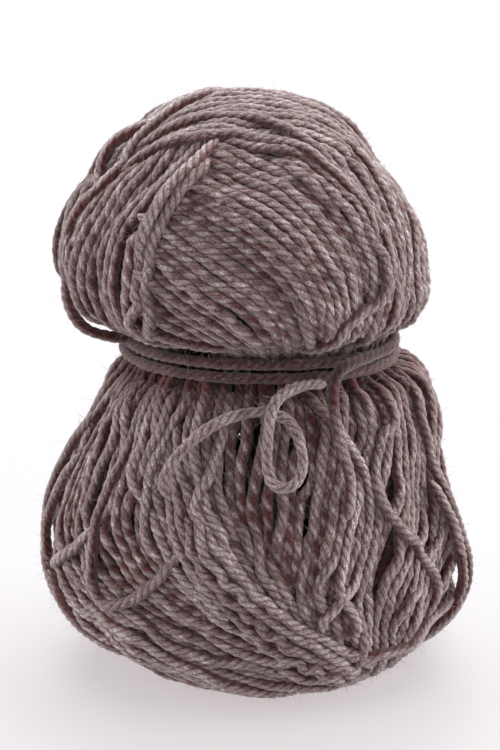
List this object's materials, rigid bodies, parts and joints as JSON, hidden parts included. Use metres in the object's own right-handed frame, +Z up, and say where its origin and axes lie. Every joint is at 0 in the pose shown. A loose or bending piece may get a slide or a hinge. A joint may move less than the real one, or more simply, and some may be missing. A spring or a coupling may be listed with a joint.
{
  "type": "ball of yarn",
  "caption": "Ball of plied wool yarn standing on its end, drawn in at the waist by turns of its own yarn, with a loose end curling down the front.",
  "frame": {"origin": "centre of the flat spot that the ball stands on, under the middle of its width and depth", "axes": "+Z up through the waist, -Y towards the loose end at the front, +X to the right seen from the front"},
  "size_m": [0.0968, 0.0918, 0.134],
  "materials": {
    "wound_yarn": "heather grey-brown plied wool, slightly fuzzy",
    "waist_tie": "heather grey-brown plied wool, slightly fuzzy",
    "loose_end": "heather grey-brown plied wool, slightly fuzzy"
  },
  "bodies": {
    "root": {"wound_yarn": "wound_yarn", "waist_tie": "waist_tie", "loose_end": "loose_end"}
  },
  "joints": []
}
